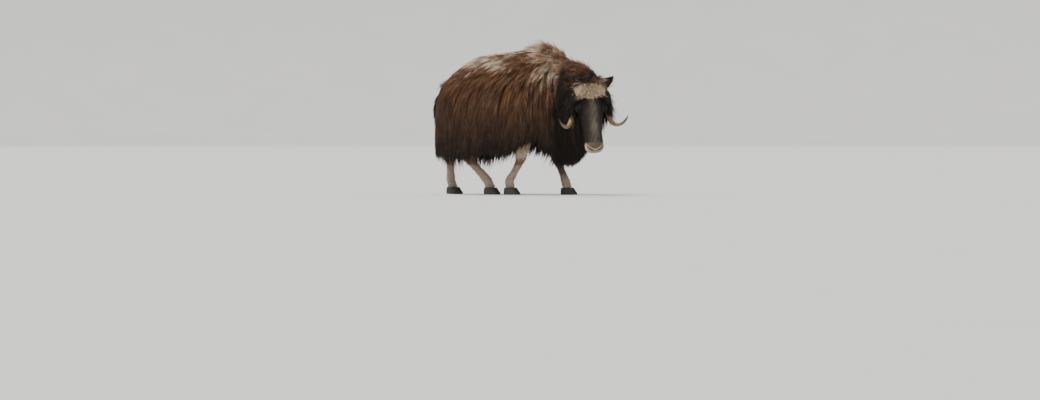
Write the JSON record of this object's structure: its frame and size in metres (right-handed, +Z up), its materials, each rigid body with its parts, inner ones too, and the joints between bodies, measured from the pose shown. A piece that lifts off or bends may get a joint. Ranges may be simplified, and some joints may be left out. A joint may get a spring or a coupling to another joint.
{
  "type": "muskox figure",
  "caption": "Standing muskox cow in mid-stride, long skirted coat, curved horns, head turned to its right.",
  "frame": {"origin": "on the floor, under the middle of the bounding box", "axes": "+X the way the body walks, +Y the animal's left, +Z up"},
  "size_m": [1.834, 0.7556, 1.241],
  "materials": {
    "coat": "long rough fur, pale over the back",
    "mane": "long dark fur",
    "face": "short dense dark fur",
    "leg": "short pale fur",
    "horn": "smooth grown horn, dark at the tip",
    "hoof": "worn dark horn",
    "eye": "wet and glossy"
  },
  "bodies": {
    "root": {"head": "face", "neck": "mane", "torso_left": "coat", "torso_right": "coat", "tail": "mane", "ear_left": "face", "eye_left": "eye", "horn_left": "horn", "leg_front_left": "leg", "hoof_front_left_inner": "hoof", "hoof_front_left_outer": "hoof", "leg_hind_left": "leg", "hoof_hind_left_inner": "hoof", "hoof_hind_left_outer": "hoof", "ear_right": "face", "eye_right": "eye", "horn_right": "horn", "leg_front_right": "leg", "hoof_front_right_inner": "hoof", "hoof_front_right_outer": "hoof", "leg_hind_right": "leg", "hoof_hind_right_inner": "hoof", "hoof_hind_right_outer": "hoof"}
  },
  "joints": []
}
